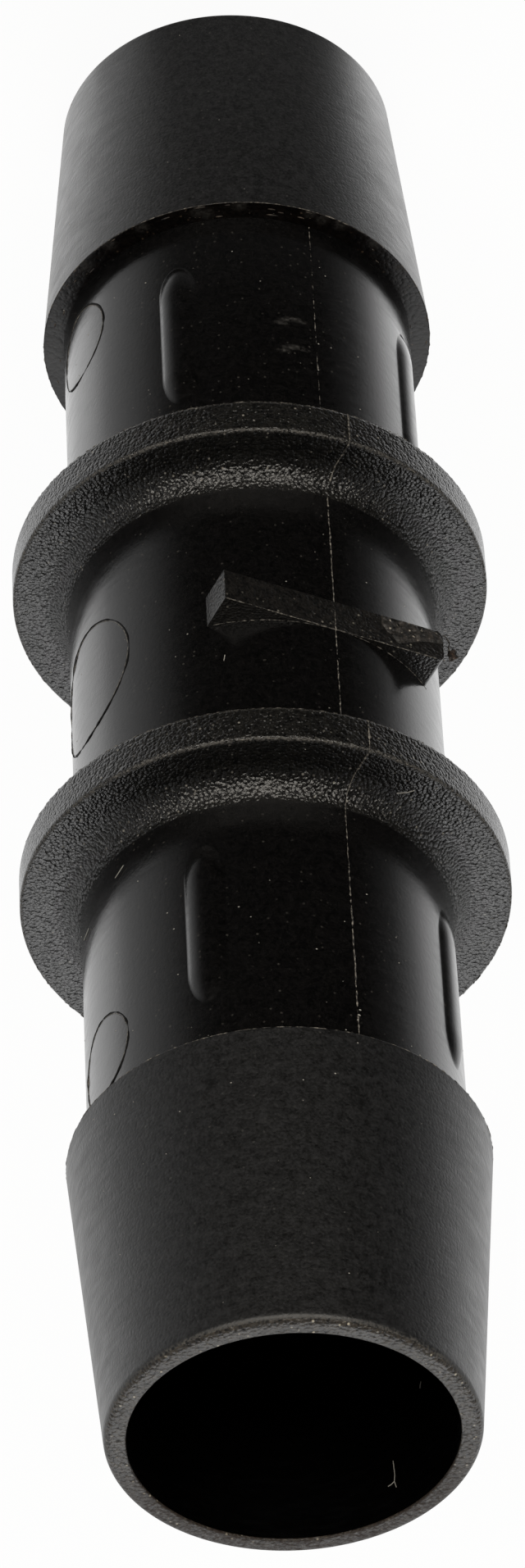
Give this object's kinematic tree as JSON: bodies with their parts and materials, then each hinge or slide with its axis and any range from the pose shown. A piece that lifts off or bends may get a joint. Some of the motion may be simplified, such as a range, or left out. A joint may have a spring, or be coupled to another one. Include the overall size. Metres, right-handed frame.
{
  "type": "hose connector",
  "caption": "Straight one-piece hose connector: a plain bore, a tapered barb at each end, ribbed necks, two collars and a flat gate bar between them.",
  "frame": {"origin": "centre of the lower mouth's flat ring, on the surface it stands on", "axes": "+Z along the bore to the upper mouth; the parting line lies in the YZ plane, with the gate bar on the -Y side and its gate end towards -X"},
  "size_m": [0.025, 0.025, 0.092],
  "materials": {
    "black_nylon": "satin, finely grained"
  },
  "bodies": {
    "root": {"connector": "black_nylon"}
  },
  "joints": []
}
